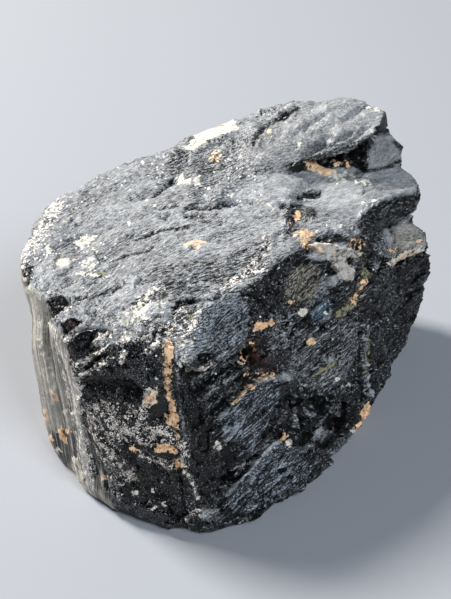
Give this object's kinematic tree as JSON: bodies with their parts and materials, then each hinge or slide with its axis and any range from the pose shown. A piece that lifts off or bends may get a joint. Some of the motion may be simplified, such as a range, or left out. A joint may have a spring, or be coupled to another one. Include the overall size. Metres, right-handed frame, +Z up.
{
  "type": "rough black tourmaline",
  "caption": "Rough chunk of black tourmaline: a stub of a ribbed prism, glassy and near black, with a broken fibrous top, a raised slab, ledges and rusty clay in its cracks.",
  "frame": {"origin": "on the level of the flat foot, under the middle of the stone's box", "axes": "+X to the right along the longest side, +Y away from the viewer of the picture, +Z up along the prism"},
  "size_m": [0.047, 0.046, 0.0328],
  "materials": {
    "black_tourmaline": "glassy to satin broken crystal with fine fibres, pale crusts and orange clay in the cracks"
  },
  "bodies": {
    "root": {"tourmaline": "black_tourmaline"}
  },
  "joints": []
}
